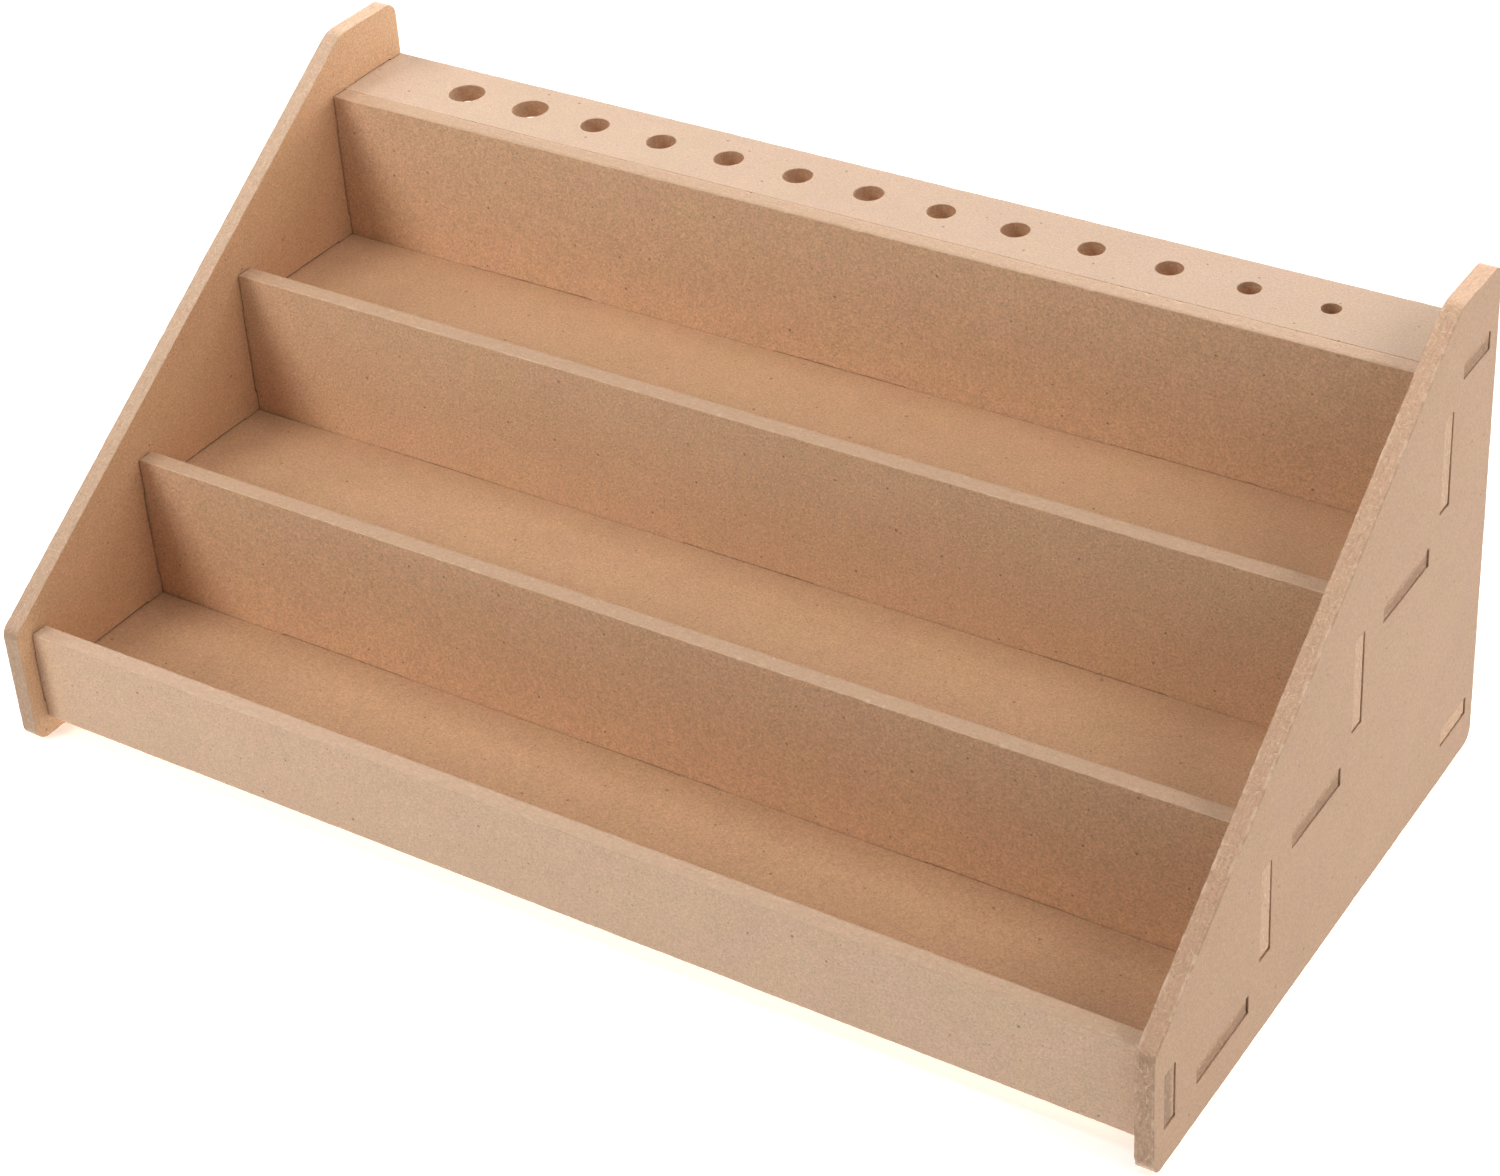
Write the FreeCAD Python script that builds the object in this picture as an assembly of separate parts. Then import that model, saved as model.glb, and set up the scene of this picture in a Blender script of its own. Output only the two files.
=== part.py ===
import FreeCAD, Part
import os
from math import sin, tan

# Stepped desk rack for small bottles and tools, built from flat fibreboard
# panels that lock together with end tabs in slots.  Eleven boards, no
# fasteners, nothing that moves.
#
# Frame: millimetres.  +X right along the shelves, +Y to the rear, +Z up.
# Origin at the middle of the footprint on the surface the rack stands on.

os.makedirs("parts", exist_ok=True)
V = FreeCAD.Vector

# ---------------------------------------------------------------- driving sizes
board = 5.0            # thickness of every board
inner_width = 326.0    # clear width between the side panels
depth = 180.0          # side panels, front to rear
height = 141.0         # side panels, top edge
front_edge = 35.0      # height of the side panels' upright front edge
flat_top = 24.5        # length of the level top edge at the rear

r_bottom = 4.0         # corner radii of the side panels
r_rear_top = 4.0
r_front = 4.0
r_slope_top = 10.0

lip_setback = 5.2      # front edge of the side panels to the lip's front face
lip_bottom = 5.5
lip_top = 32.4

tier_pitch = 48.0      # front to rear spacing of the risers
first_riser = 53.2     # front edge of the side panels to the first riser
floor_tops = (16.2, 48.7, 81.2)
riser_tops = (59.4, 91.9, 124.7)

rail_top = 124.7       # tool rail, level with the upper riser
rear_rail_top = 16.2   # bottom rail that the tool tips rest on

tab_long = 26.0        # end tabs of the shelf floors and risers
tab_rail = 15.6        # end tabs of the two rear rails
tab_lip = 15.6         # end tabs of the front lip
tab_recess = 0.2       # tab ends lie this far under the outer faces

slot_clear = 0.35      # mean gap between a tab and its slot
slot_shift = 0.25      # slots sit this far off the tabs: rearward and down on
                       # the right panel, forward and up on the left panel
end_clear = 0.35       # mean gap at the ends of a tab

comb_xs = (-100.0, 0.0, 100.0)   # teeth of a floor under its riser
comb_w = 40.0
comb_gap = 0.15

hole_d = (10.0, 10.0, 8.0, 8.0, 8.0, 8.0, 8.0, 7.5, 7.5, 7.0, 7.0, 6.0, 5.0)
hole_pitch = 21.7
hole_row = 167.5       # front edge of the side panels to the row of holes

# ---------------------------------------------------------------- derived
hx = inner_width / 2.0
ox = hx + board
y0 = -depth / 2.0      # y of the side panels' front edge

risers_y = [first_riser + i * tier_pitch for i in range(3)]
floor_fronts = [lip_setback + board] + [y + board for y in risers_y[:2]]


def corner_wire(pts, radii, place):
    """Closed wire through 2-D points with each corner rounded to its radius."""
    n = len(pts)
    edges = []
    starts, ends, mids = [], [], []    # per corner; mid is None where it is sharp
    for i in range(n):
        p = V(*pts[i], 0)
        a = V(*pts[i - 1], 0) - p
        b = V(*pts[(i + 1) % n], 0) - p
        r = radii[i]
        if r <= 0:
            starts.append(p); ends.append(p); mids.append(None)
            continue
        a.normalize(); b.normalize()
        half = a.getAngle(b) / 2.0
        t = r / tan(half)
        s, e = p + a * t, p + b * t
        bis = a + b
        bis.normalize()
        c = p + bis * (r / sin(half))
        m = c - bis * r
        starts.append(s); ends.append(e); mids.append(m)
    for i in range(n):
        if mids[i] is not None:
            edges.append(Part.Arc(place(starts[i]), place(mids[i]), place(ends[i])).toShape())
        j = (i + 1) % n
        edges.append(Part.LineSegment(place(ends[i]), place(starts[j])).toShape())
    return Part.Wire(edges)


def plate(pts, radii, place, push):
    """Flat board: a rounded 2-D outline set in space and given its thickness."""
    return Part.Face(corner_wire(pts, radii, place)).extrude(push)


def box(x0, x1, ya, yb, za, zb):
    return Part.makeBox(x1 - x0, yb - ya, zb - za, V(x0, ya, za))


def check(solid, name):
    shape = solid.removeSplitter()
    assert shape.isValid(), name
    assert len(shape.Solids) == 1, (name, len(shape.Solids))
    return shape.Solids[0]


# ---------------------------------------------------------------- boards lying flat
def flat_board(y_front, y_back, z_top, tab, tab_mid, teeth=None):
    """Level board between the side panels with one tab at each end.
    teeth: y of the rear face of the riser that the rear teeth pass under."""
    z0 = z_top - board
    ya, yb = y0 + y_front, y0 + y_back
    ta, tb = y0 + tab_mid - tab / 2.0, y0 + tab_mid + tab / 2.0
    tx = ox - tab_recess
    pts = [(-hx, ya), (hx, ya), (hx, ta), (tx, ta), (tx, tb), (hx, tb), (hx, yb)]
    if teeth is not None:
        yt = y0 + teeth
        for cx in sorted(comb_xs, reverse=True):
            pts += [(cx + comb_w / 2, yb), (cx + comb_w / 2, yt),
                    (cx - comb_w / 2, yt), (cx - comb_w / 2, yb)]
    pts += [(-hx, yb), (-hx, tb), (-tx, tb), (-tx, ta), (-hx, ta)]
    return plate(pts, [0] * len(pts), lambda p: V(p.x, p.y, z0), V(0, 0, board))


# ---------------------------------------------------------------- boards standing up
def upright_board(y_front, z_low, z_top, tab, tab_mid, notch_top=None):
    """Upright board between the side panels with one tab at each end.
    notch_top: height of the notches in the lower edge over a floor's teeth."""
    tx = ox - tab_recess
    ta, tb = tab_mid - tab / 2.0, tab_mid + tab / 2.0
    pts = [(-hx, z_low)]
    if notch_top is not None:
        w = comb_w / 2 + comb_gap
        for cx in sorted(comb_xs):
            pts += [(cx - w, z_low), (cx - w, notch_top), (cx + w, notch_top), (cx + w, z_low)]
    pts += [(hx, z_low), (hx, ta), (tx, ta), (tx, tb), (hx, tb), (hx, z_top),
            (-hx, z_top), (-hx, tb), (-tx, tb), (-tx, ta), (-hx, ta)]
    ya = y0 + y_front
    return plate(pts, [0] * len(pts), lambda p: V(p.x, ya, p.y), V(0, board, 0))


nodes = {}
slots = []      # (y low, y high, z low, z high) of every tab, for the side panels

# front lip
lip_mid = (lip_bottom + lip_top) / 2.0 - 0.3
nodes["front_lip"] = upright_board(lip_setback, lip_bottom, lip_top, tab_lip, lip_mid)
slots.append(("upright", lip_setback, lip_mid, tab_lip))

# three tiers, each a shelf floor and the riser behind it
for i, tier in enumerate(("lower", "middle", "upper")):
    yf, yr = floor_fronts[i], risers_y[i]
    zt = floor_tops[i]
    mid_y = (yf + yr + board) / 2.0
    nodes[tier + "_shelf_floor"] = flat_board(yf, yr, zt, tab_long, mid_y, teeth=yr + board)
    slots.append(("flat", zt, mid_y, tab_long))
    z_low = zt - board
    mid_z = (z_low + riser_tops[i]) / 2.0
    nodes[tier + "_riser"] = upright_board(yr, z_low, riser_tops[i], tab_long, mid_z, notch_top=zt)
    slots.append(("upright", yr, mid_z, tab_long))

# tool rail behind the upper riser, with its row of holes
rail_front = risers_y[2] + board
rail_mid = (rail_front + depth) / 2.0
rail = flat_board(rail_front, depth, rail_top, tab_rail, rail_mid)
hole_xs = [hole_pitch * (i - (len(hole_d) - 1) / 2.0) for i in range(len(hole_d))]
for x, d in zip(hole_xs, hole_d):
    rail = rail.cut(Part.makeCylinder(d / 2.0, board + 2, V(x, y0 + hole_row, rail_top - board - 1)))
nodes["top_tool_rail"] = rail
slots.append(("flat", rail_top, rail_mid, tab_rail))

# bottom rail under the tool rail
nodes["rear_bottom_rail"] = flat_board(rail_front, depth, rear_rail_top, tab_rail, rail_mid)
slots.append(("flat", rear_rail_top, rail_mid, tab_rail))

# side panels: upright front edge, straight slope, level top edge at the rear
outline = [(0, 0), (depth, 0), (depth, height), (depth - flat_top, height), (0, front_edge)]
radii = [r_bottom, r_bottom, r_rear_top, r_slope_top, r_front]


def side_panel(side):
    x_in = hx if side > 0 else -ox
    s = plate(outline, radii, lambda p: V(x_in, y0 + p.x, p.y), V(board, 0, 0))
    for kind, at, mid, length in slots:
        half = length / 2.0 + end_clear
        if kind == "flat":
            ya, yb = mid - half + side * slot_shift, mid + half + side * slot_shift
            za, zb = at - board - slot_clear - side * slot_shift, at + slot_clear - side * slot_shift
        else:
            ya, yb = at - slot_clear + side * slot_shift, at + board + slot_clear + side * slot_shift
            za, zb = mid - half - side * slot_shift, mid + half - side * slot_shift
        s = s.cut(box(x_in - 1, x_in + board + 1, y0 + ya, y0 + yb, za, zb))
    return s


nodes["right_side_panel"] = side_panel(1)
nodes["left_side_panel"] = side_panel(-1)

# ---------------------------------------------------------------- write the boards
total = 0.0
for name, shape in nodes.items():
    solid = check(shape, name)
    total += solid.Volume
    solid.exportStep("parts/%s.step" % name)
    bb = solid.BoundBox
    print("%-20s x %.1f %.1f  y %.1f %.1f  z %.1f %.1f  volume %.0f mm3" % (
        name, bb.XMin, bb.XMax, bb.YMin, bb.YMax, bb.ZMin, bb.ZMax, solid.Volume))
print("boards", len(nodes), "volume", round(total), "mm3")
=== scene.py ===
import bpy
import math
import numpy as np
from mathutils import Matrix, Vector
from mathutils.geometry import delaunay_2d_cdt


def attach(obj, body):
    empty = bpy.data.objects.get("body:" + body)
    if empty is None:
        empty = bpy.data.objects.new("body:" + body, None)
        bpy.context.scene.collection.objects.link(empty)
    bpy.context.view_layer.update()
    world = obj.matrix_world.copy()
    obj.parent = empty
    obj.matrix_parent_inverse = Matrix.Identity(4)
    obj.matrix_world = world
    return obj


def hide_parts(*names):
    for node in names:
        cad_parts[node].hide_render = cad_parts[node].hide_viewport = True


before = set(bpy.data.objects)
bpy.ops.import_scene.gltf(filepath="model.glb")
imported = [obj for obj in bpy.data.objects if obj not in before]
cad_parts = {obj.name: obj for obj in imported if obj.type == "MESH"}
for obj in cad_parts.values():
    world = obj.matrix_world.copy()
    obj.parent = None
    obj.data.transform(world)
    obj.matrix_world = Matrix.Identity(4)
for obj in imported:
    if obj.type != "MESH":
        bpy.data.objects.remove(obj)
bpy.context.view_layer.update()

# Stepped desk rack cut from 5 mm fibreboard: eleven boards locked by end tabs.
# Board sizes are in millimetres, y counted from the side panels' front edge,
# and the finished meshes are in metres in the frame of the model.

MM = 0.001
T = 5.0                 # board thickness
HX, TX = 163.0, 167.75  # inner faces of the side panels, ends of the tabs
Y0 = -90.0              # y of the side panels' front edge
DEPTH, HEIGHT = 180.0, 141.0
LIP_Y, LIP_Z = 5.2, (5.5, 32.4)
RISER_Y = (53.2, 101.2, 149.2)
FLOOR_Z = (16.2, 48.7, 81.2)
RISER_Z = (59.4, 91.9, 124.7)
RAIL_Z, REAR_Z = 124.7, 16.2
RAIL_Y = 154.2
HOLES = (10.0, 10.0, 8.0, 8.0, 8.0, 8.0, 8.0, 7.5, 7.5, 7.0, 7.0, 6.0, 5.0)
HOLE_PITCH, HOLE_ROW = 21.7, 167.5
TEETH, TOOTH = (-100.0, 0.0, 100.0), 20.0

# ------------------------------------------------------------------ camera
cam_data = bpy.data.cameras.new("camera")
cam = bpy.data.objects.new("camera", cam_data)
bpy.context.collection.objects.link(cam)
cam.location = (0.40422, -0.56356, 0.53089)
cam.rotation_euler = [math.radians(a) for a in (58.0105, 2.6522, 31.5911)]
cam_data.sensor_fit = "HORIZONTAL"
cam_data.sensor_width = 36.0
cam_data.lens = 79.398
cam_data.shift_x, cam_data.shift_y = -0.0525, -0.1167
cam_data.clip_start, cam_data.clip_end = 0.01, 50.0
bpy.context.scene.camera = cam


# ------------------------------------------------------------------ seeded noise
def ease(t):
    return t * t * (3 - 2 * t)


def wave(s, length, cell, seed):
    """Smooth noise in -1..1 along a closed line."""
    n = max(3, int(round(length / cell)))
    g = np.random.default_rng(seed).uniform(-1, 1, n)
    t = s / length * n
    i = np.floor(t).astype(int)
    f = ease(t - i)
    return g[i % n] * (1 - f) + g[(i + 1) % n] * f


def field(s, length, w, cell_s, cell_w, seed):
    """Smooth noise in -1..1 on the wall along a closed line."""
    n = max(3, int(round(length / cell_s)))
    m = int(T / cell_w) + 3
    g = np.random.default_rng(seed).uniform(-1, 1, (n, m))
    t, q = s / length * n, np.clip(w, 0, T) / cell_w
    i, j = np.floor(t).astype(int), np.floor(q).astype(int)
    f, h = ease(t - i), ease(q - j)
    a = g[i % n, j] * (1 - f) + g[(i + 1) % n, j] * f
    b = g[i % n, j + 1] * (1 - f) + g[(i + 1) % n, j + 1] * f
    return a * (1 - h) + b * h


# ------------------------------------------------------------------ cut edges
# rough: depth of the saw marks.  r0, r1: rounding at the low and the high side
# of the board's thickness.  tone: darker or lighter than a plain cut.  wild:
# how torn it looks.  crown: paler by this much towards the upper side.  b0, b1: height of the raised fibres on each arris.  nick:
# nicks per mm and their size.  ds: spacing of the points along it.
STYLE = {
    "cut": dict(rough=0.07, r0=0.22, r1=0.22, tone=1.0, wild=1.0, b0=0.0, b1=0.0, nick=(0.01, 0.15), ds=0.7),
    "plain": dict(rough=0.04, r0=0.18, r1=0.18, tone=1.0, wild=0.8, b0=0.0, b1=0.0, nick=(0, 0), ds=1.2),
    "top": dict(rough=0.05, r0=0.26, r1=0.24, tone=1.0, wild=0.7, b0=0.02, b1=0.0, nick=(0.03, 0.30), ds=0.55),
    "slope": dict(rough=0.07, r0=0.28, r1=0.34, tone=0.985, wild=1.2, b0=0.06, b1=0.10, nick=(0.04, 0.2), ds=0.45),
    # slope_left: paler than the right panel's slope edge, painted light where the lamps on the left fall on it
    "slope_left": dict(rough=0.06, r0=0.24, r1=0.26, tone=1.02, wild=1.0, b0=0.03, b1=0.04, nick=(0.03, 0.2), ds=0.6),
    "crest": dict(rough=0.05, r0=0.24, r1=0.26, tone=1.00, wild=0.9, b0=0.02, b1=0.03, nick=(0.02, 0.2), ds=0.6),
    "joint": dict(rough=0.04, r0=0.12, r1=0.12, tone=1.0, wild=0.8, b0=0.0, b1=0.0, nick=(0.03, 0.12), ds=0.7),
    "top_joint": dict(rough=0.05, r0=0.26, r1=0.12, tone=1.0, wild=0.8, b0=0.02, b1=0.0, nick=(0.03, 0.30), ds=0.55),
    # crest_left: paler than the right panel's crest, painted light where the lamps on the left fall on it
    "crest_left": dict(rough=0.05, r0=0.24, r1=0.26, tone=1.15, wild=0.9, b0=0.02, b1=0.03, nick=(0.02, 0.2), ds=0.6),
    "nose": dict(rough=0.16, r0=0.26, r1=0.34, tone=0.975, wild=1.8, b0=0.05, b1=0.08, nick=(0.06, 0.3), ds=0.35),
    "slot": dict(rough=0.07, r0=0.14, r1=0.14, tone=0.8, wild=1.0, b0=0.0, b1=0.0, nick=(0.02, 0.2), ds=0.5),
    "tab": dict(rough=0.10, r0=0.22, r1=0.22, tone=0.60, crown=0.22, wild=1.6, b0=0.0, b1=0.0, nick=(0.05, 0.25), ds=0.4),
    "tab_pale": dict(rough=0.06, r0=0.18, r1=0.18, tone=0.955, wild=1.2, b0=0.0, b1=0.0, nick=(0.03, 0.2), ds=0.4),
    # hole: walls darker than a plain cut, painted shade inside the bores
    "hole": dict(rough=0.06, r0=0.16, r1=0.20, tone=0.80, wild=1.0, b0=0.0, b1=0.03, nick=(0.03, 0.25), ds=0.5),
}


class Loop:
    """One closed outline: points, outward normals, distance along it and the
    style of the cut at each point."""

    def __init__(self, corners, styles, insets=None):
        n = len(corners)
        c = [np.array(p[:2], float) for p in corners]
        radii = [p[2] for p in corners]
        insets = insets or {}
        d = [(c[(i + 1) % n] - c[i]) for i in range(n)]
        d = [v / np.linalg.norm(v) for v in d]
        out = [np.array((v[1], -v[0])) for v in d]
        base = [c[i] - out[i] * insets.get(i, 0.0) for i in range(n)]
        moved = []
        for i in range(n):
            a, b = base[i - 1], base[i]
            m = np.array([[d[i - 1][0], -d[i][0]], [d[i - 1][1], -d[i][1]]])
            t = np.linalg.solve(m, b - a)
            moved.append(a + d[i - 1] * t[0])
        pts, nrm, sty, lim = [], [], [], []
        ends = []
        for i in range(n):
            turn = d[i - 1][0] * d[i][1] - d[i - 1][1] * d[i][0]
            ang = math.acos(max(-1, min(1, float(d[i - 1] @ d[i]))))
            r = radii[i]
            t = r * math.tan(ang / 2)
            s, e = moved[i] - d[i - 1] * t, moved[i] + d[i] * t
            ends.append((s, e, r, ang, turn))
        for i in range(n):
            s, e, r, ang, turn = ends[i]
            k = max(2, int(math.ceil(ang * r / 0.5)), int(math.ceil(ang / 0.6)))
            side = 1 if turn > 0 else -1
            centre = s - out[i - 1] * r * side
            a0 = math.atan2(*(s - centre)[::-1])
            for j in range(k + 1):
                a = a0 + side * ang * j / k
                v = np.array((math.cos(a), math.sin(a)))
                pts.append(centre + v * r)
                nrm.append(v * side)
                sty.append(styles[i] if j > k / 2 else styles[i - 1])
                lim.append(0.8 * r if side > 0 else 9.0)
            nxt = ends[(i + 1) % n][0]
            run = np.linalg.norm(nxt - e)
            k = max(1, int(round(run / STYLE[styles[i]]["ds"])))
            for j in range(1, k):
                pts.append(e + (nxt - e) * j / k)
                nrm.append(out[i])
                sty.append(styles[i])
                near = []
                if turn > 0:
                    near.append(0.8 * r + 0.85 * run * j / k)
                if ends[(i + 1) % n][4] > 0:
                    near.append(0.8 * ends[(i + 1) % n][2] + 0.85 * run * (k - j) / k)
                lim.append(min(near + [9.0]))
        self.finish(pts, nrm, sty, lim)

    def finish(self, pts, nrm, sty, lim):
        self.p, self.n = np.array(pts), np.array(nrm)
        step = np.linalg.norm(np.roll(self.p, -1, 0) - self.p, axis=1)
        self.s = np.concatenate([[0], np.cumsum(step)[:-1]])
        self.length = float(step.sum())
        self.lim = np.array(lim)
        self.sty = sty
        self.chips = []     # (place, half width, depth, side)
        self.bumps = []     # (place, half width, inward shift) of the whole wall
        for key in ("rough", "r0", "r1", "tone", "b0", "b1", "wild", "crown"):
            v = np.array([STYLE[k].get(key, 0.0) for k in sty], float)
            for _ in range(2):
                v = (np.roll(v, 1) + 2 * v + np.roll(v, -1)) / 4
            setattr(self, key, v)

    def at(self, u, v):
        """Distance along the outline of its point nearest to (u, v)."""
        return float(self.s[np.argmin(((self.p - (u, v)) ** 2).sum(1))])

    def chip(self, u, v, half, depth, side):
        self.chips.append((self.at(u, v), half, depth, side))

    def gap(self, s):
        d = np.abs(self.s - s)
        return np.minimum(d, self.length - d)


def ring_hole(x, y, dia):
    """Outline of a drilled hole, walked so that its normals point inward."""
    k = max(36, int(math.pi * dia / 0.45))
    a = -np.arange(k) * 2 * math.pi / k
    v = np.stack([np.cos(a), np.sin(a)], 1)
    loop = Loop.__new__(Loop)
    loop.finish(list(np.array((x, y)) + v * dia / 2), list(-v), ["hole"] * k, [9.0] * k)
    return loop


def wall(loop, seed, cores, thick):
    """Rings of points across the thickness: rounded arris, rough cut, arris."""
    s, ln = loop.s, loop.length
    rng = np.random.default_rng(seed + 5)
    size = []
    for side, mean in ((0, loop.r0), (1, loop.r1)):
        r = mean * (1 + 0.35 * wave(s, ln, 1.3, seed + 11 + side)
                    + 0.30 * wave(s, ln, 5.0, seed + 21 + side))
        for at, half, depth, where in loop.chips:
            if where == side:
                r = r + depth * np.exp(-(loop.gap(at) / half) ** 2)
        size.append(r)
    rates = np.array([STYLE[k]["nick"][0] for k in loop.sty])
    depths = np.array([STYLE[k]["nick"][1] for k in loop.sty])
    step = ln / len(s)
    hit = np.flatnonzero(rng.uniform(0, 1, len(s)) < rates * step)
    fresh = np.zeros((2, len(s)))
    for i in hit:
        side = int(rng.integers(0, 2))
        half, depth = rng.uniform(0.25, 0.8), depths[i] * rng.uniform(0.5, 1.6)
        bell = np.exp(-(loop.gap(s[i]) / half) ** 2)
        size[side] = size[side] + depth * bell
        fresh[side] = np.maximum(fresh[side], bell)
    for at, half, depth, where in loop.chips:
        fresh[where] = np.maximum(fresh[where], np.exp(-(loop.gap(at) / half) ** 2) * (depth < 1))
    shift = loop.rough * 0.5 * (1 + wave(s, ln, 9.0, seed + 31))
    for at, half, depth in loop.bumps:
        shift += depth * np.exp(-(loop.gap(at) / half) ** 2)
    r0, r1 = (np.clip(np.minimum(r, loop.lim - shift), 0.05, 2.6) for r in size)
    mask = [np.clip(wave(s, ln, 3.2, seed + 41 + k) * 1.1 + wave(s, ln, 0.9, seed + 51 + k) * 0.9, 0, 1)
            for k in (0, 1)]
    a = 1 - math.sqrt(0.5)
    rings = []

    def add(w, inset, cut, raised, new):
        rings.append((w, inset + shift, np.full(len(s), cut) if np.isscalar(cut) else cut, raised, new))

    zero = np.zeros(len(s))
    b = loop.b0 * mask[0]
    add(zero, r0, 0.0, zero, zero)
    add(a * r0 - 0.6 * b, a * r0 - 0.8 * b, 0.5, mask[0] * (loop.b0 > 0.01), fresh[0])
    add(r0, zero + 0.2 * loop.rough, 1.0, mask[0] * (loop.b0 > 0.04), fresh[0] * 0.5)
    for k in range(cores):
        w = r0 + (thick - r0 - r1) * (k + 1) / (cores + 1)
        deep = loop.rough * (0.5 + 0.5 * field(s, ln, w, 0.8, 0.7, seed + 61)
                             + 0.35 * field(s, ln, w, 2.5, 1.6, seed + 71))
        add(w, np.maximum(deep, 0), 1.0, zero, zero)
    b = loop.b1 * mask[1]
    add(thick - r1, zero + 0.2 * loop.rough, 1.0, mask[1] * (loop.b1 > 0.04), fresh[1] * 0.5)
    add(thick - a * r1 + 0.6 * b, a * r1 - 0.8 * b, 0.5, mask[1] * (loop.b1 > 0.01), fresh[1])
    add(thick + zero, r1, 0.0, zero, zero)
    return rings


def inside(points, loops):
    """True for each point that lies in the board, holes left out."""
    hit = np.zeros(len(points), bool)
    x, y = points[:, 0][:, None], points[:, 1][:, None]
    for q in loops:
        a, b = q, np.roll(q, -1, 0)
        ya, yb = a[:, 1][None], b[:, 1][None]
        xa, xb = a[:, 0][None], b[:, 0][None]
        cross = (ya > y) != (yb > y)
        with np.errstate(divide="ignore", invalid="ignore"):
            xi = xa + (y - ya) * (xb - xa) / (yb - ya)
        hit ^= (np.sum(cross & (x < xi), 1) % 2).astype(bool)
    return hit


def cap(loops, step=7.0):
    """Triangles over a flat face, with a coarse grid of points inside it."""
    pts = np.concatenate(loops)
    lo, hi = pts.min(0), pts.max(0)
    nx, ny = [max(1, int((hi[k] - lo[k]) / step)) for k in (0, 1)]
    gx, gy = np.meshgrid(np.linspace(lo[0], hi[0], nx + 1), np.linspace(lo[1], hi[1], ny + 1))
    g = np.stack([gx.ravel(), gy.ravel()], 1)
    g += np.random.default_rng(7).uniform(-0.2, 0.2, g.shape) * step
    g = g[inside(g, loops)]
    far = np.array([((pts - q) ** 2).sum(1).min() > (0.3 * step) ** 2 for q in g]) if len(g) else np.zeros(0, bool)
    g = g[far]
    every = np.concatenate([pts, g]) if len(g) else pts
    edges, k = [], 0
    for q in loops:
        m = len(q)
        edges += [(k + i, k + (i + 1) % m) for i in range(m)]
        k += m
    vs, _, fs, orig, _, _ = delaunay_2d_cdt([Vector(p) for p in every], edges, [], 0, 1e-6)
    if len(vs) != len(every):
        raise RuntimeError("a face's outline crosses itself")
    back = [o[0] for o in orig]
    tri = np.array([[back[i] for i in f] for f in fs])
    tri = tri[inside(every[tri].mean(1), loops)]
    return g, tri


def board(name, node, loops, place, flip, seed, cores=3, thick=T, step=7.0):
    """A board as one closed mesh.  loops: the outline and then its openings."""
    verts, faces, smooth = [], [], []
    cut, tone, raised, fresh, wild = [], [], [], [], []
    first, last = [], []
    count = 0
    for n, loop in enumerate(loops):
        rings = wall(loop, seed + 1000 * n, cores, thick)
        m = len(loop.p)
        for k, (w, inset, c, up, new) in enumerate(rings):
            q = loop.p - loop.n * inset[:, None]
            verts.append(np.column_stack([q, w]))
            cut.append(c)
            tone.append(loop.tone + loop.crown * ease(np.clip((w + 0 * loop.s - 2.9) / 1.5, 0, 1)))
            wild.append(loop.wild)
            raised.append(up)
            fresh.append(new)
            if k == 0:
                first.append((q, count))
            if k == len(rings) - 1:
                last.append((q, count))
            if k:
                for i in range(m):
                    j = (i + 1) % m
                    faces.append((count - m + i, count - m + j, count + j, count + i))
                    smooth.append(True)
            count += m
    for group, w, up in ((first, 0.0, False), (last, thick, True)):
        index = np.concatenate([np.arange(len(q)) + at for q, at in group])
        g, tri = cap([q for q, _ in group], step)
        index = np.concatenate([index, np.arange(len(g)) + count])
        if len(g):
            verts.append(np.column_stack([g, np.full(len(g), w)]))
            for part, value in ((cut, 0.0), (tone, 1.0), (raised, 0.0), (fresh, 0.0), (wild, 1.0)):
                part.append(np.full(len(g), value))
            count += len(g)
        p = np.concatenate([q for q, _ in group] + ([g] if len(g) else []))
        a, b, c = p[tri[:, 0]], p[tri[:, 1]], p[tri[:, 2]]
        turn = (b[:, 0] - a[:, 0]) * (c[:, 1] - a[:, 1]) - (b[:, 1] - a[:, 1]) * (c[:, 0] - a[:, 0])
        for f, t in zip(tri, turn):
            f = [int(index[i]) for i in f]
            if (t > 0) != up:
                f.reverse()
            faces.append(tuple(f))
            smooth.append(False)
    if flip:
        faces = [tuple(reversed(f)) for f in faces]
    v = np.concatenate(verts)
    me = bpy.data.meshes.new(name)
    me.from_pydata((place(v) * MM).tolist(), [], faces)
    me.polygons.foreach_set("use_smooth", smooth)
    for key, value in (("cut", cut), ("tone", tone), ("raised", raised), ("fresh", fresh), ("wild", wild)):
        me.attributes.new(key, "FLOAT", "POINT").data.foreach_set(
            "value", np.concatenate(value).astype(np.float32))
    me.update()
    ob = bpy.data.objects.new(name, me)
    bpy.context.collection.objects.link(ob)
    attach(ob, "root")
    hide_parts(node)
    return ob


# ------------------------------------------------------------------ outlines
def flat(y_front, y_back, tab, tab_mid, ends, teeth=None, front="plain", back="plain",
         end_gap=0.15, back_gap=0.0, front_gap=0.0):
    """Outline of a level board: x along, y to the rear."""
    ta, tb = tab_mid - tab / 2, tab_mid + tab / 2
    pts, sty, gap = [], [], {}

    def put(x, y, r, style, inset=0.0):
        if inset:
            gap[len(pts)] = inset
        pts.append((x, y, r))
        sty.append(style)

    put(-HX, y_front, 0.3, front, front_gap)
    put(HX, y_front, 0.3, "plain", end_gap)
    put(HX, ta, 0.3, ends, 0.03)
    put(TX, ta, 0.4, ends)
    put(TX, tb, 0.4, ends, 0.03)
    put(HX, tb, 0.3, "plain", end_gap)
    put(HX, y_back, 0.3, back, back_gap)
    if teeth is not None:
        for cx in sorted(TEETH, reverse=True):
            put(cx + TOOTH, y_back, 0.3, "cut")
            put(cx + TOOTH, teeth, 0.3, "cut", 0.05)
            put(cx - TOOTH, teeth, 0.3, "cut")
            put(cx - TOOTH, y_back, 0.3, back, back_gap)
    put(-HX, y_back, 0.3, "plain", end_gap)
    put(-HX, tb, 0.3, ends, 0.03)
    put(-TX, tb, 0.4, ends)
    put(-TX, ta, 0.4, ends, 0.03)
    put(-HX, ta, 0.3, "plain", end_gap)
    return Loop(pts, sty, gap)


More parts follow.
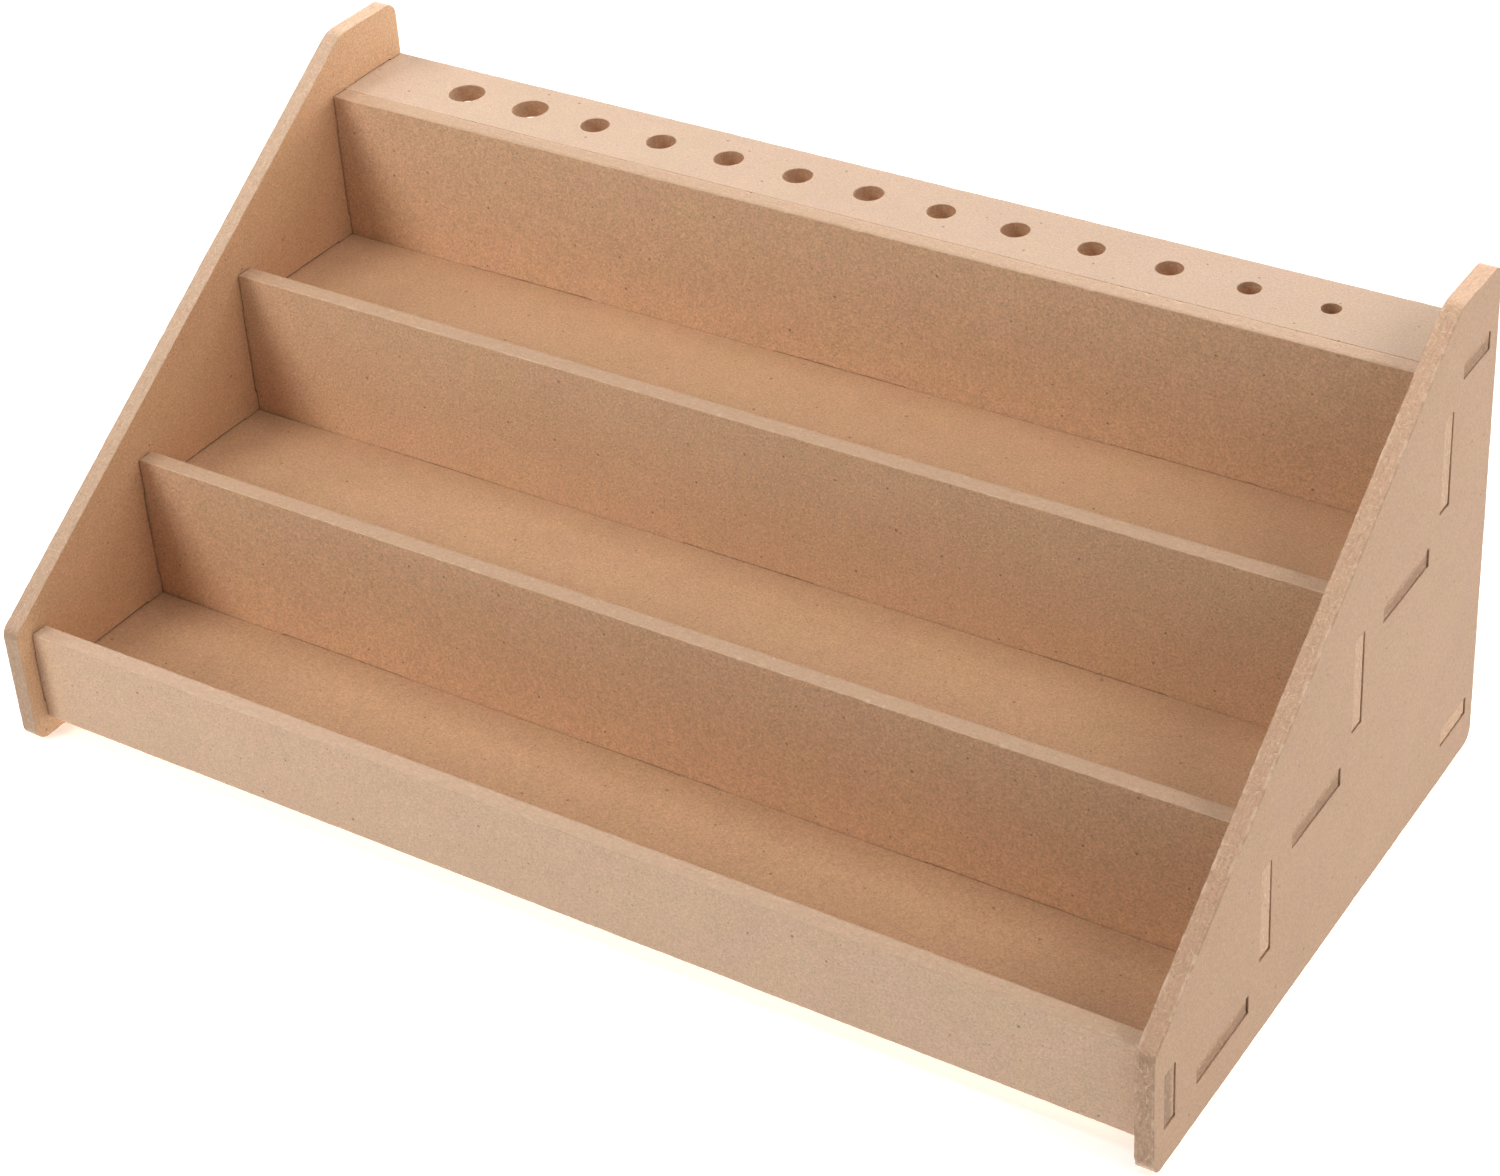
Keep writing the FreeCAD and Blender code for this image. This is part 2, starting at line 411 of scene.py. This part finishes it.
def upright(z_low, z_top, tab, tab_mid, ends, notch=None, top="top", low="cut",
            end_gap=0.12):
    """Outline of a standing board: x along, z up."""
    ta, tb = tab_mid - tab / 2, tab_mid + tab / 2
    pts, sty, gap = [], [], {}

    def put(x, z, r, style, inset=0.0):
        if inset:
            gap[len(pts)] = inset
        pts.append((x, z, r))
        sty.append(style)

    put(-HX, z_low, 0.4, low)
    if notch is not None:
        for cx in sorted(TEETH):
            w = TOOTH + 0.15
            put(cx - w, z_low, 0.3, "cut")
            put(cx - w, notch, 0.3, "cut", 0.0)
            put(cx + w, notch, 0.3, "cut")
            put(cx + w, z_low, 0.3, low)
    put(HX, z_low, 0.4, "plain", end_gap)
    put(HX, ta, 0.3, ends, 0.03)
    put(TX, ta, 0.4, ends)
    put(TX, tb, 0.4, ends, 0.03)
    put(HX, tb, 0.3, "plain", end_gap)
    put(HX, z_top, 0.45, top)
    put(-HX, z_top, 0.45, "plain", end_gap)
    put(-HX, tb, 0.3, ends, 0.03)
    put(-TX, tb, 0.4, ends)
    put(-TX, ta, 0.4, ends, 0.03)
    put(-HX, ta, 0.3, "plain", end_gap)
    return Loop(pts, sty, gap)


def lay_flat(z_top):
    return lambda v: np.column_stack([v[:, 0], v[:, 1] + Y0, v[:, 2] + z_top - T])


def stand(y_front):
    return lambda v: np.column_stack([v[:, 0], v[:, 2] + y_front + Y0, v[:, 1]])


pieces = []

# front lip
lip_mid = sum(LIP_Z) / 2 - 0.3
loop = upright(LIP_Z[0], LIP_Z[1], 15.6, lip_mid, "tab", low="cut", end_gap=0.10)
pieces.append((board("front_lip_board", "front_lip", [loop], stand(LIP_Y), True, 100), "y"))

# three tiers: a floor and the riser behind it
fronts = (LIP_Y + T, RISER_Y[0] + T, RISER_Y[1] + T)
for i, tier in enumerate(("lower", "middle", "upper")):
    yf, yr, zt = fronts[i], RISER_Y[i], FLOOR_Z[i]
    loop = flat(yf, yr, 26.0, (yf + yr + T) / 2, "tab", teeth=yr + T, back="joint",
                front="plain", back_gap=0.03, front_gap=0.05)
    for x, half, depth in ((-156, 7, 0.16), (-141, 9, 0.10), (-60, 14, 0.03), (75, 20, 0.05), (140, 14, 0.06)):
        loop.bumps.append((loop.at(x, yr), half, depth))
    pieces.append((board(tier + "_floor_board", tier + "_shelf_floor", [loop], lay_flat(zt), False,
                         200 + 10 * i), "z"))
    low = zt - T
    loop = upright(low, RISER_Z[i], 26.0, (low + RISER_Z[i]) / 2, "tab_pale", notch=zt,
                   top="top_joint" if i == 2 else "top")
    pieces.append((board(tier + "_riser_board", tier + "_riser", [loop], stand(yr), True,
                         300 + 10 * i), "y"))

# tool rail with its row of holes
rail_mid = (RAIL_Y + DEPTH) / 2
loops = [flat(RAIL_Y, DEPTH, 15.6, rail_mid, "tab", front="joint", back="cut", front_gap=0.01)]
for k, dia in enumerate(HOLES):
    loops.append(ring_hole(HOLE_PITCH * (k - (len(HOLES) - 1) / 2), HOLE_ROW, dia))
loops[-1].chip(HOLE_PITCH * 6 - 2.4, HOLE_ROW - 0.6, 0.35, 0.5, 1)
pieces.append((board("top_tool_rail_board", "top_tool_rail", loops, lay_flat(RAIL_Z), False, 400, cores=4), "z"))

# bottom rail
loop = flat(RAIL_Y, DEPTH, 15.6, rail_mid, "tab_pale", front="plain", back="cut", front_gap=0.05)
loop.chip(TX, rail_mid + 7.8, 1.1, 1.9, 0)
pieces.append((board("rear_bottom_rail_board", "rear_bottom_rail", [loop], lay_flat(REAR_Z), False, 450), "z"))


# side panels
def slot_hole(ya, yb, za, zb, f, r, b, t):
    """A slot round a tab that fills ya..yb, za..zb.  f, r: gap in front and
    behind at the low and the high end.  b, t: gap below and above at the front
    and the rear end."""
    fl, rl = (ya - f[0], za - b[0]), (yb + r[0], za - b[1])
    rh, fh = (yb + r[1], zb + t[1]), (ya - f[1], zb + t[0])
    return Loop([(*fl, 0.3), (*fh, 0.3), (*rh, 0.3), (*rl, 0.3)], ["slot"] * 4)


def tab_places():
    out = {"lip": (LIP_Y, LIP_Y + T, lip_mid - 7.8, lip_mid + 7.8),
           "rail": (rail_mid - 7.8, rail_mid + 7.8, RAIL_Z - T, RAIL_Z),
           "rear": (rail_mid - 7.8, rail_mid + 7.8, REAR_Z - T, REAR_Z)}
    for i in range(3):
        m = (fronts[i] + RISER_Y[i] + T) / 2
        out["floor%d" % i] = (m - 13, m + 13, FLOOR_Z[i] - T, FLOOR_Z[i])
        m = (FLOOR_Z[i] - T + RISER_Z[i]) / 2
        out["riser%d" % i] = (RISER_Y[i], RISER_Y[i] + T, m - 13, m + 13)
    return out


TABS = tab_places()
RIGHT = {       # front, rear, below, above
    "lip": ((0.12, 0.05), (0.16, 0.22), (0.22, 0.12), (0.06, 0.08)),
    "floor0": ((0.10, 0.05), (0.34, 0.36), (0.24, 0.24), (0.06, 0.06)),
    "riser0": ((0.20, 0.16), (0.32, 0.05), (0.34, 0.40), (0.05, 0.06)),
    "floor1": ((0.12, 0.08), (0.28, 0.18), (0.20, 0.22), (0.05, 0.05)),
    "riser1": ((0.16, 0.14), (0.30, 0.08), (0.20, 0.28), (0.16, 0.18)),
    "floor2": ((0.10, 0.05), (0.28, 0.30), (0.22, 0.18), (0.05, 0.06)),
    "riser2": ((0.16, 0.14), (0.34, 0.08), (0.28, 0.36), (0.05, 0.08)),
    "rail": ((0.08, 0.06), (0.10, 0.08), (0.16, 0.12), (0.05, 0.05)),
    "rear": ((0.20, 0.16), (0.25, 0.14), (0.26, 0.26), (0.05, 0.05)),
}
LEFT = {
    "lip": ((0.27, 0.11), (0.10, 0.10), (0.15, 0.15), (0.12, 0.12)),
    "floor0": ((0.15, 0.15), (0.10, 0.10), (0.10, 0.10), (0.24, 0.30)),
    "riser0": ((0.20, 0.28), (0.10, 0.10), (0.10, 0.10), (0.15, 0.15)),
    "floor1": ((0.15, 0.15), (0.10, 0.10), (0.10, 0.10), (0.22, 0.26)),
    "riser1": ((0.26, 0.20), (0.10, 0.10), (0.10, 0.10), (0.15, 0.15)),
    "floor2": ((0.15, 0.15), (0.10, 0.10), (0.10, 0.10), (0.20, 0.24)),
    "riser2": ((0.24, 0.22), (0.10, 0.10), (0.10, 0.10), (0.15, 0.15)),
    "rail": ((0.12, 0.12), (0.10, 0.10), (0.10, 0.10), (0.12, 0.16)),
    "rear": ((0.40, 0.40), (0.10, 0.10), (0.10, 0.10), (0.40, 0.40)),
}
PANEL = [(0, 0, 4.0), (DEPTH, 0, 4.0), (DEPTH, HEIGHT, 4.0), (DEPTH - 24.5, HEIGHT, 10.0), (0, 35.0, 4.0)]


def side_panel(name, node, x_low, gaps, styles, seed):
    loops = [Loop(PANEL, styles)]
    edge = loops[0]
    slope = (edge.p[:, 1] > 33) & (edge.p[:, 0] < 154)
    # painted light and shade: the sloping edge runs from darker at the low front to paler at the high rear, as the
    # light falls on it
    edge.tone = np.where(slope, edge.tone * (0.95 + 0.11 * edge.p[:, 0] / 154), edge.tone)
    for key in sorted(gaps):
        loops.append(slot_hole(*TABS[key], *gaps[key]))
    return board(name, node, loops,
                 lambda v: np.column_stack([v[:, 2] + x_low, v[:, 0] + Y0, v[:, 1]]),
                 False, seed, cores=5, thick=T - 0.06)


pieces.append((side_panel("right_side_board", "right_side_panel", HX, RIGHT,
                          ["cut", "cut", "crest", "slope", "nose"], 500), "x"))
pieces.append((side_panel("left_side_board", "left_side_panel", -HX - T + 0.06, LEFT,
                          ["cut", "cut", "crest_left", "slope_left", "cut"], 600), "x"))


# ------------------------------------------------------------------ finish of the boards
class Tree:
    def __init__(self, name):
        self.mat = bpy.data.materials.new(name)
        self.mat.use_nodes = True
        self.t = self.mat.node_tree
        self.t.nodes.clear()

    def add(self, kind, ins=None, **props):
        n = self.t.nodes.new(kind)
        for k, v in props.items():
            setattr(n, k, v)
        for k, v in (ins or {}).items():
            if isinstance(v, bpy.types.NodeSocket):
                self.t.links.new(v, n.inputs[k])
            else:
                n.inputs[k].default_value = v
        return n

    def math(self, op, a, b=0.0, c=0.0, clamp=False):
        return self.add("ShaderNodeMath", {0: a, 1: b, 2: c}, operation=op, use_clamp=clamp).outputs[0]

    def vec(self, op, a, b=(0, 0, 0), scale=None):
        ins = {0: a, 1: b}
        if scale is not None:
            ins["Scale"] = scale
        n = self.add("ShaderNodeVectorMath", ins, operation=op)
        return n.outputs["Value" if op in ("DOT_PRODUCT", "LENGTH") else 0]

    def noise(self, vector, scale, detail=2.0, rough=0.55, distort=0.0):
        return self.add("ShaderNodeTexNoise", {"Vector": vector, "Scale": scale, "Detail": detail,
                                               "Roughness": rough, "Distortion": distort},
                        noise_dimensions="3D")

    def range(self, v, a, b, c=0.0, d=1.0, smooth=False):
        return self.add("ShaderNodeMapRange", {"Value": v, "From Min": a, "From Max": b,
                                               "To Min": c, "To Max": d},
                        interpolation_type="SMOOTHSTEP" if smooth else "LINEAR").outputs[0]

    def mix(self, f, a, b, mode="MIX"):
        n = self.add("ShaderNodeMix", {"Factor": f}, data_type="RGBA", blend_type=mode)
        for k, v in ((6, a), (7, b)):
            if isinstance(v, bpy.types.NodeSocket):
                self.t.links.new(v, n.inputs[k])
            else:
                n.inputs[k].default_value = v
        return n.outputs[2]

    def deeper(self, v, green=1.15, blue=1.27):
        """Shade that grows redder as it darkens."""
        g = self.math("POWER", v, green)
        b = self.math("POWER", v, blue)
        return self.add("ShaderNodeCombineXYZ", {0: v, 1: g, 2: b}).outputs[0]

    def attribute(self, name):
        return self.add("ShaderNodeAttribute", attribute_type="GEOMETRY", attribute_name=name).outputs["Fac"]


FACE = (0.640, 0.450, 0.305)
CUT = (0.565, 0.398, 0.274)


def strands(g, place, cell, long, wide, gate):
    """Short straight fibres, one to a cell, each lying its own way."""
    q = g.vec("SCALE", place, scale=1.0 / cell)
    v = g.add("ShaderNodeTexVoronoi", {"Vector": q, "Scale": 1.0, "Randomness": 1.0},
              voronoi_dimensions="2D", feature="F1")
    d = g.vec("SUBTRACT", q, v.outputs["Position"])
    col = g.add("ShaderNodeSeparateColor", {0: v.outputs["Color"]})
    turn = g.math("MULTIPLY", col.outputs[0], math.pi)
    c, s = g.math("COSINE", turn), g.math("SINE", turn)
    along = g.add("ShaderNodeCombineXYZ", {0: c, 1: s, 2: 0.0}).outputs[0]
    across = g.add("ShaderNodeCombineXYZ", {0: g.math("MULTIPLY", s, -1.0), 1: c, 2: 0.0}).outputs[0]
    a = g.math("ABSOLUTE", g.vec("DOT_PRODUCT", d, along))
    b = g.math("ABSOLUTE", g.vec("DOT_PRODUCT", d, across))
    a = g.range(a, long / cell * 0.6, long / cell, 1.0, 0.0, smooth=True)
    b = g.range(b, wide / cell * 0.4, wide / cell, 1.0, 0.0, smooth=True)
    on = g.range(col.outputs[1], gate, gate + 0.05, 0.0, 1.0)
    return g.math("MULTIPLY", g.math("MULTIPLY", a, b), on)


def fibreboard(name, axis, face_tone_and_light=(1, 1, 1), cut_tone_and_light=(1, 1, 1), grain=1.0, face_falloff_paint=None, cut_falloff_paint=None):
    g = Tree(name)
    face_c = tuple(a * b for a, b in zip(FACE, face_tone_and_light)) + (1.0,)
    cut_c = tuple(a * b for a, b in zip(CUT, cut_tone_and_light)) + (1.0,)
    pos = g.add("ShaderNodeTexCoord").outputs["Object"]
    mm = g.vec("SCALE", pos, scale=1000.0)
    xyz = g.add("ShaderNodeSeparateXYZ", {0: mm})
    x, y, z = xyz.outputs
    u, v, w = {"x": (y, z, x), "y": (x, z, y), "z": (x, y, z)}[axis]
    # place on the board's face, moved on from one side of it to the other
    uu = g.math("MULTIPLY_ADD", w, 13.7, u)
    vv = g.math("MULTIPLY_ADD", w, 5.3, v)
    solid = g.add("ShaderNodeCombineXYZ", {0: uu, 1: vv, 2: w}).outputs[0]
    warp = g.noise(solid, 0.55, 1.0).outputs["Color"]
    bent = g.vec("ADD", solid, g.vec("SCALE", g.vec("SUBTRACT", warp, (0.5, 0.5, 0.5)), scale=0.9))

    def paint_falloff(colour, change):
        """Painted light and shade: a slow change of shade from one end of a board to the other, where the light falls
        off along it.
        """
        if change is None:
            return colour
        way, start, low, high = change
        t = g.range(g.math("ADD", g.vec("DOT_PRODUCT", mm, way), start), -1.0, 1.0)
        return g.mix(1.0, colour, g.mix(t, low + (1.0,), high + (1.0,)), "MULTIPLY")

    # felt of short fibres pressed flat
    fine = g.noise(solid, 1.7, 3.0, 0.70, 0.5).outputs["Fac"]
    mid = g.noise(solid, 0.30, 2.0, 0.6).outputs["Fac"]
    wide = g.noise(solid, 0.048, 1.0, 0.5).outputs["Fac"]
    hue = g.noise(g.vec("ADD", solid, (311.0, 87.0, 41.0)), 0.07, 2.0, 0.6).outputs["Fac"]
    pale = strands(g, bent, 1.45, 0.85, 0.16, 0.30)
    dark = strands(g, g.vec("ADD", bent, (57.0, 91.0, 0.0)), 1.35, 0.75, 0.15, 0.40)
    long = strands(g, g.vec("ADD", bent, (23.0, 11.0, 0.0)), 5.5, 2.6, 0.20, 0.70)

    # sparse specks of bark, of uneven size
    def specks(offset, cell, low, high, chance):
        n = g.add("ShaderNodeTexVoronoi", {"Vector": g.vec("ADD", solid, offset), "Scale": 1.0 / cell,
                                           "Randomness": 1.0}, voronoi_dimensions="2D", feature="F1")
        c = g.add("ShaderNodeSeparateColor", {0: n.outputs["Color"]})
        r = g.range(c.outputs[1], 0.0, 1.0, low / cell, high / cell)
        inner = g.math("MULTIPLY", r, 0.4)
        on = g.add("ShaderNodeMapRange", {"Value": n.outputs["Distance"], "From Min": inner, "From Max": r,
                                          "To Min": 1.0, "To Max": 0.0}).outputs[0]
        return g.math("MULTIPLY", on, g.range(c.outputs[0], 1.0 - chance, 1.02 - chance))

    dot = g.math("MAXIMUM", specks((5.0, 77.0, 0.0), 15.0, 0.25, 0.55, 0.7),
                 g.math("MULTIPLY", specks((41.0, 3.0, 0.0), 6.5, 0.16, 0.34, 0.45), 0.7))

    light = g.math("MULTIPLY_ADD", g.math("SUBTRACT", fine, 0.5), 0.46 * grain, 1.0)
    light = g.math("MULTIPLY_ADD", g.math("SUBTRACT", mid, 0.5), 0.10 + 0.02 * grain, light)
    light = g.math("MULTIPLY_ADD", g.math("SUBTRACT", wide, 0.5), 0.07, light)
    light = g.math("MULTIPLY_ADD", pale, 0.042 * grain, light)
    light = g.math("MULTIPLY_ADD", dark, -0.050 * grain, light)
    light = g.math("MULTIPLY_ADD", long, 0.022 * grain, light)
    tint = g.mix(g.range(hue, 0.36, 0.64), (1.006, 0.989, 1.008, 1.0), (0.998, 1.001, 0.986, 1.0))
    face = g.mix(1.0, g.mix(1.0, face_c, tint, "MULTIPLY"),
                 g.deeper(light, 1.04, 1.07), "MULTIPLY")
    face = paint_falloff(face, face_falloff_paint)
    face = g.mix(g.math("MULTIPLY", dot, 0.62), face, (0.250, 0.140, 0.080, 1.0))

    # cut edge: layers parallel to the faces, torn fibres and pale ends
    along = {"x": g.math("MULTIPLY_ADD", y, 0.826, g.math("MULTIPLY", z, 0.563)),
             "y": g.math("MULTIPLY_ADD", z, 0.61, x), "z": g.math("MULTIPLY_ADD", y, 0.61, x)}[axis]
    flat_w = g.add("ShaderNodeCombineXYZ", {0: g.math("MULTIPLY", u, 0.16), 1: g.math("MULTIPLY", v, 0.16),
                                            2: g.math("MULTIPLY", w, 1.0)}).outputs[0]
    layer = g.noise(flat_w, 2.2, 2.0, 0.6).outputs["Fac"]
    torn = g.noise(mm, 1.3, 3.0, 0.75, 1.2).outputs["Fac"]
    edge_uv = g.add("ShaderNodeCombineXYZ", {0: along, 1: w, 2: 0.0}).outputs[0]
    edge_bent = g.vec("ADD", edge_uv, g.vec("SCALE", g.vec("SUBTRACT", g.noise(edge_uv, 0.8, 1.0).outputs["Color"],
                                                            (0.5, 0.5, 0.5)), scale=1.1))
    curl = strands(g, edge_bent, 1.7, 1.0, 0.22, 0.35)
    crack = strands(g, g.vec("ADD", edge_bent, (37.0, 0.0, 0.0)), 1.9, 0.9, 0.20, 0.45)
    ends = g.add("ShaderNodeTexVoronoi", {"Vector": mm, "Scale": 1.05, "Randomness": 1.0},
                 voronoi_dimensions="3D", feature="F1")
    end_pick = g.add("ShaderNodeSeparateColor", {0: ends.outputs["Color"]})
    bit = g.math("MULTIPLY", g.range(ends.outputs["Distance"], 0.18, 0.34, 1.0, 0.0),
                 g.range(end_pick.outputs[0], 0.72, 0.78))
    wild = g.attribute("wild")
    shade = g.math("MULTIPLY", g.math("SUBTRACT", torn, 0.5), 0.50)
    shade = g.math("MULTIPLY_ADD", curl, 0.11, shade)
    shade = g.math("MULTIPLY_ADD", crack, -0.075, shade)
    shade = g.math("MULTIPLY_ADD", bit, 0.10, shade)
    shade = g.math("MULTIPLY", shade, wild)
    shade = g.math("MULTIPLY_ADD", g.math("SUBTRACT", layer, 0.5), g.math("MULTIPLY_ADD", wild, 0.16, 0.10), shade)
    shade = g.math("MULTIPLY", g.math("ADD", shade, 1.01), g.attribute("tone"))
    flush = g.noise(edge_uv, 0.22, 2.0, 0.6).outputs["Fac"]
    blush = g.mix(g.range(flush, 0.36, 0.64), (1.016, 0.984, 0.992, 1.0), (1.0, 1.0, 0.984, 1.0))
    edge = g.mix(1.0, g.mix(1.0, cut_c, blush, "MULTIPLY"),
                 g.deeper(shade), "MULTIPLY")
    edge = paint_falloff(edge, cut_falloff_paint)

    is_cut = g.attribute("cut")
    colour = g.mix(is_cut, face, edge)
    lift = g.math("MAXIMUM", g.math("MULTIPLY", g.attribute("raised"), 0.50),
                  g.math("MULTIPLY", g.attribute("fresh"), 0.45))
    colour = g.mix(lift, colour, (0.84, 0.68, 0.53, 1.0))

    # relief: fine nap on the faces, torn fibres on the cuts
    nap = g.noise(solid, 2.4, 2.0, 0.6).outputs["Fac"]
    relief = g.math("MULTIPLY_ADD", pale, 0.35, nap)
    tear = g.math("MULTIPLY_ADD", curl, 0.4, g.math("MULTIPLY_ADD", crack, -0.5, torn))
    rough_w = g.add("ShaderNodeMix", {"Factor": is_cut, "A": relief, "B": tear}, data_type="FLOAT").outputs[0]
    bump = g.add("ShaderNodeBump", {"Strength": 0.30 + 0.08 * grain, "Distance": 0.0002, "Height": rough_w})
    shine = g.range(mid, 0.3, 0.7, 0.52, 0.66)
    bsdf = g.add("ShaderNodeBsdfPrincipled", {"Base Color": colour, "Roughness": shine,
                                              "Specular IOR Level": 0.5, "Normal": bump.outputs[0]})
    g.add("ShaderNodeOutputMaterial", {"Surface": bsdf.outputs[0]})
    return g.mat


# the boards differ in shade, partly as offcuts of one stock do and partly as painted light: the lip front, its cuts
# and the rail are paler and bluer as under a cool sheen, the right panel is darker and the floors darker than the
# risers
BOARD_SHADE_AND_PAINTED_LIGHT = {     # on the faces, on the cuts, strength of the grain
    "front_lip": ((1.19, 1.25, 1.34), (1.005, 1.069, 1.142), 1.6),
    "floor": ((0.955, 0.930, 0.893), (1.0, 1.0, 1.0), 1.8),
    "riser": ((1.171, 1.178, 1.170), (0.940, 0.966, 1.0), 2.1),
    "top_tool_rail": ((0.895, 0.956, 1.058), (1.0, 1.0, 1.0), 1.1),
    "right_side": ((0.708, 0.699, 0.711), (1.093, 1.089, 1.121), 1.3),
    "left_side": ((0.985, 0.94, 0.885), (1.029, 1.071, 1.125), 1.9),
    "rear_bottom_rail": ((1.0, 1.0, 1.0), (1.0, 1.0, 1.0), 1.3),
}
ALONG = ((1.0 / 150.0, 0.0, 0.0), 0.0)
UP_BACK = ((0.0, 1.0 / 75.0, -1.0 / 96.0), 0.72)
PAINTED_FALLOFF = {      # painted light falloff and sheen on the faces
    "front_lip": None,
    "floor": ALONG + ((0.985, 0.990, 1.000), (0.965, 0.955, 0.950)),
    "riser": ALONG + ((1.015, 1.020, 1.035), (0.955, 0.945, 0.945)),
    "top_tool_rail": ALONG + ((1.045, 1.065, 1.090), (0.945, 0.940, 0.935)),
    "right_side": UP_BACK + ((0.968, 0.960, 0.950), (1.032, 1.040, 1.050)),
}
# painted light falloff along the lip's cut edges
CUT_PAINTED_FALLOFF = {"front_lip": ALONG + ((1.020, 1.030, 1.060), (0.975, 0.965, 0.950))}
for ob, axis in pieces:
    kind = next(k for k in BOARD_SHADE_AND_PAINTED_LIGHT if k in ob.name)
    key = "fibreboard_%s_%s" % (kind, axis)
    if key not in bpy.data.materials:
        fibreboard(key, axis, *BOARD_SHADE_AND_PAINTED_LIGHT[kind], PAINTED_FALLOFF.get(kind), CUT_PAINTED_FALLOFF.get(kind))
    ob.data.materials.append(bpy.data.materials[key])

# ------------------------------------------------------------------ floor
me = bpy.data.meshes.new("studio_floor")
h = 7.0
me.from_pydata([(-h, -h, 0), (h, -h, 0), (h, h, 0), (-h, h, 0)], [], [(0, 1, 2, 3)])
floor = bpy.data.objects.new("studio_floor", me)
bpy.context.collection.objects.link(floor)
floor.visible_diffuse = False      # the panels below light the boards from underneath
floor.visible_shadow = False
g = Tree("studio_white")
bsdf = g.add("ShaderNodeBsdfPrincipled", {"Base Color": (0.88, 0.88, 0.88, 1.0), "Roughness": 0.95,
                                          "Specular IOR Level": 0.1,
                                          "Emission Color": (1.0, 1.0, 1.0, 1.0), "Emission Strength": 0.36})
g.add("ShaderNodeOutputMaterial", {"Surface": bsdf.outputs[0]})
me.materials.append(g.mat)


# ------------------------------------------------------------------ light
def softbox(name, at, aim, size, power, colour=(1, 1, 1)):
    d = bpy.data.lights.new(name, "AREA")
    d.shape = "RECTANGLE"
    d.size, d.size_y = size
    d.energy = power
    d.color = colour
    o = bpy.data.objects.new(name, d)
    bpy.context.collection.objects.link(o)
    o.location = at
    o.rotation_euler = (Vector(aim) - Vector(at)).to_track_quat("-Z", "Y").to_euler()
    return o


LIGHTS = {     # place, aim, size, watts
    "key_left": ((-0.621, -0.887, 0.685), (0, 0, 0.06), (0.45, 0.45), 6.02),
    "key_small": ((-0.413, -1.023, 0.647), (0, 0, 0.06), (0.18, 0.18), 0.64),
    "over": ((0.0, -0.017, 1.01), (0, 0, 0.06), (0.5, 0.5), 2.44),
    "high_left": ((-0.472, -0.272, 0.838), (0, 0, 0.06), (0.5, 0.5), 1.49),
    "high_rear": ((0.0, 0.545, 0.838), (0, 0, 0.06), (0.5, 0.5), 1.33),
    "high_right": ((0.958, -0.0, 0.863), (0, 0, 0.06), (0.45, 0.45), 3.59),
    "low_left": ((-1.024, 0.0, 0.777), (0, 0, 0.06), (0.45, 0.45), 3.16),
}
for name, spec in LIGHTS.items():
    softbox(name, *spec)

# broad panels of light far off: azimuth from the front towards the right,
# elevation, strength and how narrow each one is
PANELS = ((60.0, 12.0, 0.53, 6.0), (120.0, 12.0, 2.04, 6.0), (180.0, 12.0, 4.66, 6.0),
          (0.0, -90.0, 5.57, 6.0), (0.0, -30.0, 0.91, 6.0), (90.0, -30.0, 0.965, 6.0))
world = bpy.data.worlds.new("studio")
bpy.context.scene.world = world
world.use_nodes = True
wt = Tree.__new__(Tree)
wt.t = world.node_tree
wt.t.nodes.clear()
ray = wt.vec("NORMALIZE", wt.add("ShaderNodeTexCoord").outputs["Generated"])
glow = None
for azimuth, elevation, strength, narrow in PANELS:
    a, e = math.radians(azimuth), math.radians(elevation)
    axis = (math.sin(a) * math.cos(e), -math.cos(a) * math.cos(e), math.sin(e))
    lobe = wt.math("POWER", wt.math("MAXIMUM", wt.vec("DOT_PRODUCT", ray, axis), 0.0), narrow)
    glow = wt.math("MULTIPLY_ADD", lobe, strength, glow if glow is not None else 0.0)
back = wt.add("ShaderNodeBackground", {"Color": (1.0, 1.0, 1.0, 1.0), "Strength": glow})
wt.add("ShaderNodeOutputWorld", {"Surface": back.outputs[0]})

scene = bpy.context.scene
view = scene.view_settings
view.view_transform = "Standard"
view.look = "None"
view.exposure = -0.06
view.gamma = 0.76
